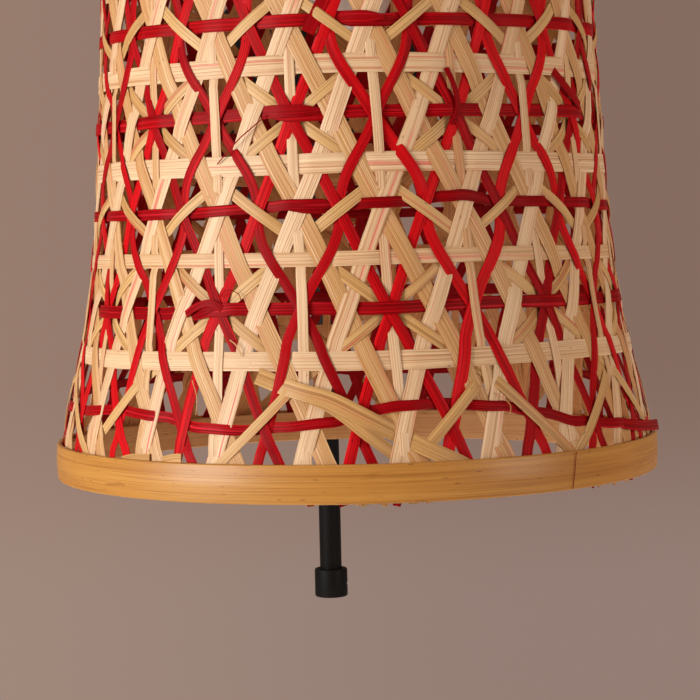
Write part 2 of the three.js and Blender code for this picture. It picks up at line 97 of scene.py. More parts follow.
def make_camera():
    data = bpy.data.cameras.new("camera")
    data.lens = CAMERA_LENS
    data.sensor_width = 36.0
    data.clip_start = 0.05
    data.clip_end = 50
    camera = added("camera", data)
    away = Vector((math.sin(CAMERA_AZIMUTH), -math.cos(CAMERA_AZIMUTH), 0))
    camera.location = Vector((SHADE_X, SHADE_Y, SHADE_Z + CAMERA_HEIGHT)) + away * CAMERA_DISTANCE
    turn = Matrix.Rotation(CAMERA_AZIMUTH + CAMERA_YAW, 4, "Z")
    tilt = Matrix.Rotation(math.pi / 2 - CAMERA_PITCH, 4, "X")
    roll = Matrix.Rotation(-CAMERA_ROLL, 4, "Z")
    camera.rotation_euler = (turn @ tilt @ roll).to_euler()
    bpy.context.scene.camera = camera


def area_light(name, azimuth, distance, height, size, power, colour, mirrored=True):
    """A soft light round the shade. One that is not mirrored gives no glint on gloss."""
    data = bpy.data.lights.new(name, "AREA")
    data.shape = "RECTANGLE"
    data.size = size[0]
    data.size_y = size[1]
    data.energy = power
    data.color = colour
    light = added(name, data)
    light.visible_glossy = mirrored
    angle = math.radians(azimuth)
    target = Vector((SHADE_X, SHADE_Y, SHADE_Z + SHADE_HEIGHT / 2))
    away = Vector((math.sin(angle), -math.cos(angle), 0))
    light.location = target + away * distance + Vector((0, 0, height))
    light.rotation_euler = (target - light.location).to_track_quat("-Z", "Y").to_euler()


def make_lights():
    area_light("key_left", -60, 1.7, 0.15, (0.8, 1.0), 35, (1.0, 0.97, 0.94))
    area_light("key_right", 54, 1.7, 0.15, (0.6, 1.0), 11.2, (1.0, 0.845, 0.72))
    area_light("fill_back", 172, 2.2, 0.0, (1.8, 1.2), 30, (1.0, 0.97, 0.94), mirrored=False)
    area_light("fill_side", 118, 2.4, -0.1, (1.4, 1.4), 7, (1.0, 0.98, 0.95), mirrored=False)
    area_light("fill_top", 10, 0.3, 2.2, (1.6, 1.6), 6, (1.0, 0.98, 0.95))
    world = bpy.data.worlds.new("world")
    bpy.context.scene.world = world
    world.use_nodes = True
    background = world.node_tree.nodes["Background"]
    background.inputs["Color"].default_value = (0.60, 0.52, 0.47, 1)
    background.inputs["Strength"].default_value = 0.33
    bpy.context.scene.view_settings.view_transform = "Standard"


def plane(name, corners, material):
    mesh = bpy.data.meshes.new(name)
    mesh.from_pydata(corners, [], [(0, 1, 2, 3)])
    mesh.materials.append(material)
    piece = added(name, mesh)


# ---------------- node helpers

class Look:
    """A node material with one Principled shader, built a node at a time."""

    def __init__(self, name):
        self.material = bpy.data.materials.new(name)
        self.material.use_nodes = True
        self.tree = self.material.node_tree
        self.shader = self.tree.nodes["Principled BSDF"]

    def set(self, socket, value):
        if isinstance(value, bpy.types.NodeSocket):
            self.tree.links.new(value, socket)
        else:
            socket.default_value = value

    def node(self, kind, settings=None, **inputs):
        made = self.tree.nodes.new(kind)
        for key, value in (settings or {}).items():
            setattr(made, key, value)
        for key, value in inputs.items():
            self.set(made.inputs[key.replace("_", " ")], value)
        return made

    def math(self, operation, a, b):
        made = self.tree.nodes.new("ShaderNodeMath")
        made.operation = operation
        for socket, value in zip(made.inputs, (a, b)):
            self.set(socket, value)
        return made.outputs[0]

    def mix(self, factor, a, b):
        made = self.tree.nodes.new("ShaderNodeMix")
        made.data_type = "RGBA"
        self.set(made.inputs["Factor"], factor)
        self.set(made.inputs["A"], a)
        self.set(made.inputs["B"], b)
        return made.outputs["Result"]

    def ramp(self, factor, low, high, start=0.0, end=1.0):
        made = self.tree.nodes.new("ShaderNodeMapRange")
        made.interpolation_type = "SMOOTHSTEP"
        names = ("Value", "From Min", "From Max", "To Min", "To Max")
        for key, value in zip(names, (factor, low, high, start, end)):
            self.set(made.inputs[key], value)
        return made.outputs["Result"]

    def noise(self, vector, scale, detail=2.0, roughness=0.5):
        return self.node("ShaderNodeTexNoise", Vector=vector, Scale=scale, Detail=detail,
                         Roughness=roughness).outputs["Fac"]

    def finish(self, colour, roughness, bump=None, strength=0.3, distance=0.0002, **sockets):
        self.set(self.shader.inputs["Base Color"], colour)
        self.set(self.shader.inputs["Roughness"], roughness)
        for key, value in sockets.items():
            self.set(self.shader.inputs[key.replace("_", " ")], value)
        if bump is not None:
            made = self.node("ShaderNodeBump", Strength=strength, Distance=distance, Height=bump)
            self.set(self.shader.inputs["Normal"], made.outputs["Normal"])
        return self.material


def attribute(look, name):
    return look.node("ShaderNodeAttribute", {"attribute_name": name}).outputs["Fac"]


def grain(look):
    """Makes coordinates that run along a splint, stretched so that noise in them draws fibres."""
    uv = look.node("ShaderNodeUVMap", {"uv_map": "grain"}).outputs[0]
    split = look.node("ShaderNodeSeparateXYZ", Vector=uv)
    along, across = split.outputs["X"], split.outputs["Y"]

    def stretched(along_scale, across_scale):
        return look.node("ShaderNodeCombineXYZ", X=look.math("MULTIPLY", along, along_scale),
                         Y=look.math("MULTIPLY", across, across_scale)).outputs[0]
    return stretched


def splint_look(name, pale, deep, line, bleed, inside, roughness, gloss):
    """Split bamboo: long fibres along the splint, slow changes of tone, dark lines and dye marks."""
    look = Look(name)
    stretched = grain(look)
    tone = attribute(look, "tone")
    fine = look.noise(stretched(30, 5200), 1.0, 2.0)
    fibres = look.noise(stretched(7, 1900), 1.0, 3.0, 0.6)
    broad = look.noise(stretched(5, 620), 1.0, 1.0)
    slow = look.noise(stretched(9, 90), 1.0, 1.0)
    body = look.math("ADD", look.math("MULTIPLY", slow, 0.6), look.math("MULTIPLY", tone, 0.9))
    colour = look.mix(look.ramp(body, 0.2, 1.2), pale, deep)
    colour = look.mix(look.ramp(broad, 0.50, 0.66, 0.0, 0.35), colour, line)
    colour = look.mix(look.ramp(fibres, 0.52, 0.63, 0.0, 0.7), colour, line)
    # A lighter copy of the pale colour on the fibres' crests: partly the fibres' own tone, partly a painted
    # highlight.
    light = tuple(min(1.0, c * 1.22) for c in pale[:3]) + (1,)
    colour = look.mix(look.ramp(fibres, 0.46, 0.36, 0.0, 0.6), colour, light)
    colour = look.mix(look.ramp(fine, 0.45, 0.75, 0.0, 0.3), colour, line)
    streak = look.ramp(look.noise(stretched(5, 520), 1.0, 2.0), 0.57, 0.66)
    patch = look.ramp(look.noise(stretched(22, 60), 1.0, 1.0), 0.40, 0.60)
    marks = look.math("MULTIPLY", look.math("MULTIPLY", streak, patch), attribute(look, "bleed"))
    colour = look.mix(marks, colour, bleed)
    speck = look.ramp(look.noise(stretched(260, 700), 1.0, 0.0), 0.80, 0.86, 0.0, 0.6)
    colour = look.mix(speck, colour, tuple(c * 0.35 for c in line[:3]) + (1,))
    # The inner faces get a darker, warmer colour: partly the bamboo's own inner side, partly painted shade
    # for the light filtered through the weave.
    pith_and_shade = look.mix(look.ramp(fibres, 0.35, 0.65), inside, line)
    colour = look.mix(look.math("MULTIPLY", attribute(look, "inner"), 0.85), colour, pith_and_shade)
    ridges = look.math("ADD", look.math("MULTIPLY", fibres, 0.8), look.math("MULTIPLY", fine, 0.25))
    height = look.math("SUBTRACT", 1.0, ridges)
    rough = look.math("ADD", roughness, look.math("MULTIPLY", fibres, 0.2))
    return look.finish(colour, rough, height, 0.6, 0.0004, Specular_IOR_Level=gloss)


def hoop_look(name, pale, deep, line, roughness, coat):
    """Bent bamboo culm with its skin on: long grain round the hoop, dark pores and a lacquered face."""
    look = Look(name)
    stretched = grain(look)
    slow = look.noise(stretched(6, 60), 1.0, 2.0)
    bands = look.noise(stretched(2.2, 420), 1.0, 3.0, 0.6)
    fine = look.noise(stretched(18, 2600), 1.0, 2.0)
    body = look.math("ADD", look.math("MULTIPLY", slow, 0.6), look.math("MULTIPLY", bands, 0.5))
    colour = look.mix(look.ramp(body, 0.35, 0.75), pale, deep)
    colour = look.mix(look.ramp(bands, 0.55, 0.70, 0.0, 0.34), colour, line)
    colour = look.mix(look.ramp(fine, 0.48, 0.70, 0.0, 0.5), colour, line)
    stain = look.ramp(look.noise(stretched(38, 230), 1.0, 3.0, 0.6), 0.60, 0.74, 0.0, 0.5)
    colour = look.mix(stain, colour, line)
    dash = look.ramp(look.noise(stretched(190, 1500), 1.0, 0.0), 0.78, 0.84, 0.0, 0.85)
    colour = look.mix(dash, colour, (0.10, 0.045, 0.012, 1))
    height = look.math("ADD", look.math("MULTIPLY", bands, 0.6), look.math("MULTIPLY", fine, 0.25))
    rough = look.math("ADD", roughness, look.math("MULTIPLY", fine, 0.16))
    return look.finish(colour, rough, height, 0.35, 0.0004, Specular_IOR_Level=0.35, Coat_Weight=coat,
                       Coat_Roughness=0.25)


def painted_look(name, colour, worn, roughness, scale=900.0):
    """Powder-coated steel: a fine orange-peel bump, faint dust and slow changes of sheen."""
    look = Look(name)
    place = look.node("ShaderNodeTexCoord").outputs["Object"]
    peel = look.noise(place, scale, 2.0)
    slow = look.noise(place, 28.0, 3.0)
    dust = look.ramp(slow, 0.5, 0.8, 0.0, 0.45)
    shade = look.mix(dust, colour, worn)
    shade = look.mix(look.ramp(peel, 0.35, 0.7, 0.0, 0.25), shade, worn)
    rough = look.math("ADD", roughness, look.math("MULTIPLY", slow, 0.22))
    return look.finish(shade, rough, peel, 0.25, 0.00015, Specular_IOR_Level=0.11)


def brushed_look(name, colour, dark, roughness):
    """Bare or plated metal with turning marks."""
    look = Look(name)
    place = look.node("ShaderNodeTexCoord").outputs["Object"]
    stretch = look.node("ShaderNodeMapping", Vector=place, Scale=(300, 300, 5200)).outputs[0]
    marks = look.noise(stretch, 1.0, 3.0)
    slow = look.noise(place, 120.0, 2.0)
    shade = look.mix(look.ramp(marks, 0.3, 0.8, 0.0, 0.7), colour, dark)
    shade = look.mix(look.ramp(slow, 0.5, 0.8, 0.0, 0.4), shade, dark)
    rough = look.math("ADD", roughness, look.math("MULTIPLY", marks, 0.2))
    return look.finish(shade, rough, marks, 0.2, 0.0001, Metallic=1.0)


def glass_look(name):
    """Opal bulb glass: milky, with a faint slow unevenness under a clear gloss."""
    look = Look(name)
    place = look.node("ShaderNodeTexCoord").outputs["Object"]
    cloud = look.noise(place, 60.0, 3.0)
    shade = look.mix(look.ramp(cloud, 0.3, 0.8), (0.93, 0.90, 0.84, 1), (0.85, 0.80, 0.71, 1))
    rough = look.math("ADD", 0.10, look.math("MULTIPLY", cloud, 0.12))
    return look.finish(shade, rough, cloud, 0.05, 0.0003, Coat_Weight=0.5, Coat_Roughness=0.06)


# Each splint look's fifth colour, for the inner faces, is partly the bamboo's own inside and partly painted
# warm shade.
NATURAL = splint_look("split bamboo natural", (0.75, 0.532, 0.328, 1), (0.53, 0.28, 0.10, 1),
                      (0.42, 0.15, 0.042, 1), (0.70, 0.09, 0.09, 1), (0.62, 0.24, 0.06, 1), 0.36, 0.30)
HONEY = splint_look("split bamboo honey", (0.64, 0.385, 0.155, 1), (0.52, 0.28, 0.095, 1),
                    (0.30, 0.12, 0.03, 1), (0.50, 0.09, 0.05, 1), (0.56, 0.21, 0.05, 1), 0.34, 0.35)
RED = splint_look("split bamboo red", (0.64, 0.006, 0.009, 1), (0.23, 0.001, 0.003, 1),
                  (0.15, 0.001, 0.002, 1), (0.62, 0.018, 0.03, 1), (0.28, 0.002, 0.003, 1), 0.30, 0.05)
HOOP = hoop_look("bamboo hoop skin", (0.53, 0.252, 0.050, 1), (0.40, 0.150, 0.018, 1),
                 (0.22, 0.070, 0.010, 1), 0.36, 0.14)
HOOP_INSIDE = hoop_look("bamboo hoop inside", (0.65, 0.322, 0.123, 1), (0.51, 0.224, 0.067, 1),
                        (0.31, 0.11, 0.033, 1), 0.5, 0.0)
BLACK = painted_look("black powder coat", (0.0035, 0.003, 0.0026, 1), (0.009, 0.0075, 0.0065, 1), 0.45)
BLACK_PLASTIC = painted_look("black moulding", (0.010, 0.010, 0.010, 1), (0.022, 0.022, 0.022, 1),
                             0.45, 1600.0)
ZINC = brushed_look("zinc plate", (0.62, 0.63, 0.65, 1), (0.36, 0.37, 0.39, 1), 0.28)
BRASS = brushed_look("brass", (0.72, 0.50, 0.20, 1), (0.45, 0.28, 0.09, 1), 0.25)
NYLON = painted_look("nylon", (0.70, 0.66, 0.56, 1), (0.58, 0.53, 0.43, 1), 0.5, 1200.0)
OPAL = glass_look("opal glass")
FLOOR = painted_look("pale floor", (0.90, 0.88, 0.86, 1), (0.86, 0.84, 0.82, 1), 0.7, 60.0)


def backdrop_painted_light_look():
    """The wall colour with painted light on it: a little lighter to the left, a painted falloff from the
    left lamp, and darker in its upper part, a painted soft shadow of the shade. It is lit by itself, so the
    lamps do not change it.
    """
    look = Look("backdrop")
    place = look.node("ShaderNodeTexCoord").outputs["Object"]
    split = look.node("ShaderNodeSeparateXYZ", Vector=place)
    # Painted light: lighter to the left as if lit from the left, and darker above as a painted shadow of the
    # shade.
    side = look.ramp(split.outputs["X"], -0.6, 0.7)
    low = look.ramp(split.outputs["Z"], -0.35, -0.85)
    upper = look.mix(side, (0.318, 0.210, 0.162, 1), (0.236, 0.150, 0.118, 1))
    lower = look.mix(side, (0.352, 0.246, 0.198, 1), (0.296, 0.208, 0.176, 1))
    shade = look.mix(low, upper, lower)
    return look.finish((0, 0, 0, 1), 1.0, Specular_IOR_Level=0.0, Emission_Color=shade,
                       Emission_Strength=1.0)


def make_stage():
    far, back, top = STAGE_REACH, BACKDROP_Y, BACKDROP_TOP
    floor = [(-far, -far, FLOOR_Z), (far, -far, FLOOR_Z), (far, far, FLOOR_Z), (-far, far, FLOOR_Z)]
    plane("floor", floor, FLOOR)
    wall = [(-far, back, FLOOR_Z), (far, back, FLOOR_Z), (far, back, top), (-far, back, top)]
    plane("backdrop", wall, backdrop_painted_light_look())


# ---------------- the wall that the splints lie on

TAPER = 0.055
TAPER_R = 133.86 * MM
FLARE = 14.2 * MM
FLARE_HEIGHT = 67 * MM


def wall_radius(h):
    """Mean radius of the woven wall, h above the rim's lower edge, as in the CAD."""
    height = min(max(h, RIM_HEIGHT), TOP_HOOP_LOW)
    return TAPER_R - TAPER * height + FLARE * math.exp(-((height / FLARE_HEIGHT) ** 2))


def smooth(t):
    t = min(max(t, 0.0), 1.0)
    return t * t * (3 - 2 * t)


def wall_point(phi, h, lift):
    """Point and outward normal on the wall: phi is 0 at the front and grows to the right."""
    radius = wall_radius(h) + lift
    step = 0.5 * MM
    slope = (wall_radius(h + step) - wall_radius(h - step)) / (2 * step)
    out = Vector((math.sin(phi), -math.cos(phi), 0))
    point = Vector((SHADE_X, SHADE_Y, SHADE_Z + h)) + out * radius
    return point, (out + Vector((0, 0, -slope))).normalized()


# ---------------- the weave's lattice
#
# A place in the weave is (x, r): x counts cells to the right, r counts rows downwards.
# Families: P1 and M1 are the wide natural diagonals, rising and falling to the right, and H1 the
# wide horizontals. P2, M2 and H2 are red and pass through the middles of the hexagons. V3, M3 and
# P3 are narrow natural splints. Stars of type A, B, C and D sit in the hexagons' middles.

CELLS = 22
ROW_PITCH = 43.1 * MM
ROW_ZERO = 212.4 * MM
FIRST_PHI = math.radians(-15.4)
ROW_TWIST = math.radians(0.9)
SPREAD = 0.045                   # the cells are a little wider at the front than at the back
SPREAD_PHI = math.radians(-5)
BOTTOM_ROW = (ROW_ZERO - 3.0 * MM) / ROW_PITCH
TOP_ROW = (ROW_ZERO - SHADE_HEIGHT + 3.0 * MM) / ROW_PITCH
BULGE = 2.3 * MM                 # how much higher than evenly spaced the rows near BULGE_ROW sit
BULGE_ROW = 2.3
LAYER = 0.62 * MM                # from one splint's middle to the next one's in a crossing
CELL = 2 * math.pi * 0.125 / CELLS   # a cell's width where the wall's radius is 125 mm


def row_height(r):
    return ROW_ZERO - ROW_PITCH * r + BULGE * math.exp(-((r - BULGE_ROW) ** 2))


def column_angle(x, r):
    phi = FIRST_PHI + x * 2 * math.pi / CELLS + ROW_TWIST * (r - 2)
    return phi + SPREAD * math.sin(phi - SPREAD_PHI)


def whole(value):
    return abs(value - round(value)) < 1e-4


def star_kind(x, r):
    if round(r) % 2:
        return "A" if round(x + (r - 1) / 2) % 2 == 0 else "B"
    return "C" if round(x - 0.5 + r / 2) % 2 == 0 else "D"


STARS = {
    "A": ["H2", "M2", "P2", "V3", "M3", "P3"],
    "B": ["V3", "P2", "M2", "H2"],
    "C": ["M3", "P2", "M2", "H2"],
    "D": ["P3", "M2", "P2", "H2"],
}


def stack(x, r):
    """The families that cross at (x, r), from the outside in, or None."""
    if whole(r):
        odd = round(r) % 2 == 1
        if whole(x) == odd and whole(2 * x):
            return STARS[star_kind(x, r)]
        return ["P1", "M1", "H2"] if odd else ["H2", "P1", "M1", "V3"]
    if whole(2 * r):
        return natural_row_stack(x, r)
    if whole(4 * r):
        centre = round(r)
        side = 1 if (r > centre) else -1
        for narrow, wide, lean, odd_kind in (("M3", "P1", 1, "C"), ("P3", "M1", -1, "D")):
            star_x = x - 0.375 * side * lean
            if whole(2 * star_x) and whole(star_x) == (centre % 2 == 1):
                kind = star_kind(star_x, centre)
                if kind == "A":
                    return [narrow, wide]
                if kind == odd_kind:
                    return [wide, narrow]
        return None
    return ["V3", "M3", "P3"]


def natural_row_stack(x, r):
    """The same on a row of wide horizontals, which lies between two rows of stars."""
    if whole(x):
        near = math.floor(r) if math.floor(r) % 2 else math.ceil(r)
        return ["V3", "H1"] if star_kind(x, near) == "A" else ["H1", "V3"]
    if whole(x - r / 2):
        k = round(x + r / 2 - 0.5)
        names = ["M1", "H1"]
        names = names + ["P2"] if k % 2 == 0 else ["P2"] + names
        return names + ["M3"] if whole((x - 1.5 * r + 1.5) / 2) else names
    j = round(x - r / 2 - 0.5)
    names = ["H1", "P1"]
    names = names + ["M2"] if j % 2 else ["M2"] + names
    return names + ["P3"] if whole((x + 1.5 * r - 1.5) / 2) else names


def level_at(family, x, r):
    """How far out family lies at that crossing, in layers from the wall's middle, or None."""
    names = stack(x, r)
    if names is None or family not in names:
        return None
    return (len(names) - 1) / 2 - names.index(family)


SLOPES = {"P1": -0.5, "M1": 0.5, "P2": -0.5, "M2": 0.5, "M3": 1.5, "P3": -1.5, "V3": 0.0}
CROSSING_ROWS = {
    "P1": (0.25,), "M1": (0.25,), "P2": (0.5,), "M2": (0.5,),
    "M3": (0.25, 1 / 3), "P3": (0.25, 1 / 3), "V3": (0.5, 1 / 3),
}


def crossings(family, x0):
    """Row and level of each crossing of the splint of that family that passes (x0, 0)."""
    found = {}
    for spacing in CROSSING_ROWS[family]:
        first = math.ceil((TOP_ROW - 0.6) / spacing)
        for n in range(first, math.floor((BOTTOM_ROW + 0.6) / spacing) + 1):
            r = n * spacing if spacing == 1 / 3 else round(n * spacing, 6)
            if spacing == 1 / 3:
                if whole(r) or not third_row_crossing(x0 + SLOPES[family] * r, r):
                    continue
            level = level_at(family, x0 + SLOPES[family] * r, r)
            if level is not None:
                found[round(r, 5)] = level
    hold_by_open_stars(family, x0, found)
    if family in GATHERED:
        found = {r: level for r, level in found.items() if not LAST_STARS < r < HELD_TO}
        found[HELD_TO] = found[LAST_STARS]
    if family in ("M3", "P3"):
        found = {r: level for r, level in found.items() if r < FREE_ROW}
        found.update((r, FREE_LEVEL) for r in FREE_ENDS)
    return sorted(found.items())


FREE_ROW = 3.7                   # below this the narrow diagonals lie free on top and fall steeper
FREE_ENDS = (3.85, 4.0, 4.2, 4.5, 4.9)
FREE_LEVEL = 1.9
STEEPER = 0.42                   # cells by which they shift in each row


def steeper_end(family):
    """Sideways shift that makes a narrow diagonal fall more steeply below the last natural row."""
    side = -STEEPER if family == "M3" else STEEPER
    return lambda r: side * CELL * max(0.0, r - FREE_ROW)


# The wide and the red diagonals stand steeper near the rim: their feet shift sideways, and towards
# the front, from GATHER_ROWS[0] down, and they cross a little lower than the last stars.
GATHERED = ("P1", "M1", "P2", "M2")
GATHER = {"P": 6.0 * MM, "M": -3.2 * MM}
GATHER_FORWARD = 5.7 * MM
GATHER_ROWS = (3.3, 4.5)
LAST_STARS = 4.0
HELD_TO = 4.28


def gathered(family, r, phi):
    """Sideways shift of a diagonal's foot, below the last natural row."""
    start, end = GATHER_ROWS
    return (GATHER[family[0]] - GATHER_FORWARD * math.sin(phi)) * max(0.0, r - start) / (end - start)


HELD_ROWS = {"V3": 0.30, "P2": 0.24, "M2": 0.24}   # how far from a B star a splint keeps its level


def hold_by_open_stars(family, x0, found):
    """By a B star the upright runs free above the reds, and the reds stay low beside it."""
    if family not in HELD_ROWS:
        return
    reach = HELD_ROWS[family]
    for row in range(math.ceil(TOP_ROW), math.floor(BOTTOM_ROW) + 1):
        x = x0 + SLOPES[family] * row
        if row % 2 and whole(x) and star_kind(x, row) == "B":
            found[row - reach] = found[row + reach] = level_at(family, x, row)


def third_row_crossing(x, r):
    """Whether V3, M3 and P3 meet at (x, r), a third of the way between two rows."""
    count = 3 * (r - 1) / 2
    return whole(count) and whole(x) and round(count) % 3 != 0 and round(x - count) % 2 == 0


# ---------------- splints as meshes

# A splint's section in widths and thicknesses: flat inside, a little crowned outside.
SECTION = [(-0.5, -0.30), (-0.47, -0.5), (0.47, -0.5), (0.5, -0.30), (0.5, 0.20), (0.44, 0.40), (0.0, 0.55),
           (-0.44, 0.40), (-0.5, 0.20)]


TWIST_WAVE = 0.045               # metres from one slow turn of a splint's face to the next
WIDTH_WAVE = 0.03
WIDTH_CHANGE = 0.03
POINT_WIDTH = 0.35               # share of the width that is left at a narrowed end


class Strips:
    """Gathers splints into one mesh, with a map that runs along each splint and a tone for each."""

    def __init__(self, seed):
        self.random = random.Random(seed)
        self.vertices = []
        self.faces = []
        self.maps = []
        self.tones = []
        self.bleeds = []
        self.inners = []

    def add(self, points, normals, width, thickness, tone=None, bleed=None, twist=0.03, point=0.0):
        """Sweeps SECTION along points. point is the length over which the ends narrow."""
        points = np.array(points)
        normals = np.array(normals)
        count = len(points)
        tangents = np.gradient(points, axis=0)
        tangents /= np.linalg.norm(tangents, axis=1)[:, None]
        sides = np.cross(normals, tangents)
        sides /= np.linalg.norm(sides, axis=1)[:, None]
        normals = np.cross(tangents, sides)
        run = np.concatenate([[0], np.cumsum(np.linalg.norm(np.diff(points, axis=0), axis=1))])
        wave = self.wander(run, TWIST_WAVE, twist)
        tilted = sides * np.cos(wave)[:, None] + normals * np.sin(wave)[:, None]
        normals = normals * np.cos(wave)[:, None] - sides * np.sin(wave)[:, None]
        widths = width * (1 + self.wander(run, WIDTH_WAVE, WIDTH_CHANGE))
        if point:
            growth = (1 - POINT_WIDTH) * np.minimum(run, run[-1] - run) / point
            widths = widths * np.clip(POINT_WIDTH + growth, 0, 1)
        base = len(self.vertices)
        size = len(SECTION)
        for a, b in SECTION:     # one whole line of vertices along the splint for each section point
            edge = points + tilted * (widths * a)[:, None] + normals * (thickness * b)
            self.vertices.extend(map(tuple, edge))
        shift_u = self.random.uniform(0, 40)
        shift_v = self.random.uniform(0, 40)
        around = [0.0]
        mean = float(np.mean(widths))
        for (a0, b0), (a1, b1) in zip(SECTION, SECTION[1:] + SECTION[:1]):
            around.append(around[-1] + math.hypot((a1 - a0) * mean, (b1 - b0) * thickness))
        us = [length + shift_u for length in run]
        vs = [length + shift_v for length in around]
        for i in range(count - 1):
            for j in range(size):
                here, beside = base + j * count + i, base + (j + 1) % size * count + i
                self.faces.append((here, beside, beside + 1, here + 1))
                self.maps.extend([(us[i], vs[j]), (us[i], vs[j + 1]),
                                  (us[i + 1], vs[j + 1]), (us[i + 1], vs[j])])
        for i, order in ((0, range(size - 1, -1, -1)), (count - 1, range(size))):
            self.faces.append(tuple(base + j * count + i for j in order))
            self.maps.extend([(us[i], vs[j]) for j in order])
        tone = self.random.random() if tone is None else tone
        bleed = self.random.uniform(0.1, 1.0) if bleed is None else bleed
        self.tones.extend([tone] * (count * size))
        self.bleeds.extend([bleed] * (count * size))
        for _, out in SECTION:
            self.inners.extend([1.0 if out < 0 else 0.0] * count)

    def wander(self, run, period, amount):
        """A slow seeded wave along the splint."""
        total = np.zeros(len(run))
        length = max(float(run[-1]), 1e-6)
        for share in (1.0, 0.55, 0.3):
            turns = length * share / period
            phase = self.random.uniform(0, 2 * math.pi)
            total += np.sin(run / length * 2 * math.pi * turns + phase) * share
        return total * amount / 1.85

    def piece(self, name, material, slot, nodes):
        mesh = bpy.data.meshes.new(name)
        mesh.from_pydata(self.vertices, [], self.faces)
        layer = mesh.uv_layers.new(name="grain")
        layer.data.foreach_set("uv", np.array(self.maps, np.float32).ravel())
        for key, values in (("tone", self.tones), ("bleed", self.bleeds), ("inner", self.inners)):
            layer = mesh.attributes.new(key, "FLOAT", "POINT")
            layer.data.foreach_set("value", np.array(values, np.float32))
        mesh.materials.append(material)
        mesh.shade_smooth()
        mesh.set_sharp_from_angle(angle=math.radians(32))
        mesh.update()
        return placed(mesh, name, nodes, "lamp")


def placed(mesh, name, nodes, body):
    piece = added(name, mesh)
    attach(piece, body)
    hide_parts(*nodes)
    return piece


PRESSED = 0.22                   # share of the layers' spacing that is left between the hoops


def squeeze(h):
    """Between the hoops the layers are pressed together."""
    low = smooth((h - RIM_HEIGHT + 2 * MM) / (12 * MM))
    high = smooth((TOP_HOOP_LOW - h + 2 * MM) / (12 * MM))
    return PRESSED + (1 - PRESSED) * min(low, high)


def levels_along(run, marks, hold):
    """Level at each length in run: flat for hold on both sides of a crossing, smooth in between."""
    result = []
    index = 0
    for s in run:
        while index < len(marks) - 1 and s > marks[index + 1][0]:
            index += 1
        s0, l0 = marks[index]
        if s <= s0 or index == len(marks) - 1:
            result.append(l0)
            continue
        s1, l1 = marks[index + 1]
        flat = min(hold, (s1 - s0) * 0.3)
        result.append(l0 + (l1 - l0) * smooth((s - s0 - flat) / (s1 - s0 - 2 * flat)))
    return result


STEP = 2.4 * MM                  # from one section of a splint to the next
DIAGONAL_FLAT = 2.6 * MM         # a diagonal lies flat this far on both sides of a crossing
DIAGONAL_WAVE = 0.11             # metres from one sideways bend to the next
HORIZONTAL_FLAT = 0.09           # the same for a horizontal, in cells
HORIZONTAL_WAVE = 0.16


def diagonal(strips, family, x0, width, thickness, sway, bow=None, rows=(TOP_ROW, BOTTOM_ROW), tone=None,
             bleed=None):
    """A splint that runs from the top hoop to the rim through (x0, 0)."""
    slope = SLOPES[family]
    top, bottom = rows
    length = (bottom - top) * math.hypot(ROW_PITCH, slope * CELL)
    count = max(8, round(length / STEP))
    rs = np.linspace(top, bottom, count)
    run = np.linspace(0, length, count)
    drift = strips.wander(run, DIAGONAL_WAVE, sway)
    marks = [((r - top) / (bottom - top) * length, level) for r, level in crossings(family, x0)]
    levels = levels_along(run, marks, DIAGONAL_FLAT)
    points, normals = [], []
    for r, side, level in zip(rs, drift, levels):
        x = x0 + slope * r + side / CELL
        if bow is not None:
            x += bow(r) / CELL
        if family in GATHERED:
            x += gathered(family, r, column_angle(x, r)) / CELL
        h = row_height(r)
        point, normal = wall_point(column_angle(x, r), h, level * LAYER * squeeze(h))
        points.append(point)
        normals.append(normal)
    strips.add(points, normals, width, thickness, tone, bleed)


def table_value(table, key):
    """Smooth interpolation in a list of (key, value) pairs, flat beyond its ends."""
    if key <= table[0][0]:
        return table[0][1]
    for (k0, v0), (k1, v1) in zip(table, table[1:]):
        if key <= k1:
            return v0 + (v1 - v0) * smooth((key - k0) / (k1 - k0))
    return table[-1][1]


OVERLAP = 0.62                   # cells by which a horizontal splint's ends lie over each other
POINTED = 8 * MM                 # the stretch over which a horizontal splint's cut end narrows


def horizontal(strips, family, r, width, thickness, sway, joint, heights=((0, 0),), twist=0.03, tone=None):
    """A splint that runs all the way round on row r, its ends lapped at column joint."""
    spacing = 0.5 if whole(r) else 0.25
    radius = wall_radius(row_height(r))
    start, end = joint - OVERLAP, joint + CELLS
    marks = []
    for n in range(math.floor(start / spacing) - 1, math.ceil(end / spacing) + 2):
        level = level_at(family, n * spacing, r)
        if level is not None:
            marks.append((n * spacing, level))
    count = round(2 * math.pi * radius * (1 + OVERLAP / CELLS) / STEP)
    xs = np.linspace(start, end, count)
    levels = levels_along(xs, marks, HORIZONTAL_FLAT)
    run = (xs - start) * 2 * math.pi * radius / CELLS
    drift = strips.wander(run, HORIZONTAL_WAVE, sway)
    points, normals = [], []
    for x, side, level in zip(xs, drift, levels):
        phi = column_angle(x, r)
        turned = math.degrees(math.remainder(phi, 2 * math.pi))
        h = row_height(r) + side + table_value(heights, turned) * MM
        on_top = smooth((x - end + 1.3 * OVERLAP) / (0.3 * OVERLAP))
        below = smooth((start + 1.3 * OVERLAP - x) / (0.3 * OVERLAP))
        h += (on_top - below) * 0.7 * MM
        lift = level * LAYER * squeeze(h) + (on_top - below) * thickness * 0.55
        point, normal = wall_point(phi, h, lift)
        points.append(point)
        normals.append(normal)
    strips.add(points, normals, width, thickness, tone=tone, twist=twist, point=POINTED)


SHORT = {("M3", 8): 3.56, ("M3", 9): 3.56, ("P3", 1): 4.25, ("P3", 3): 4.33}   # these stop before the rim
WIDE = 7.7 * MM
MEDIUM = 5.3 * MM
NARROW = 5.0 * MM
THICK = 0.58 * MM
THIN = 0.46 * MM
BOW = 3.1 * MM


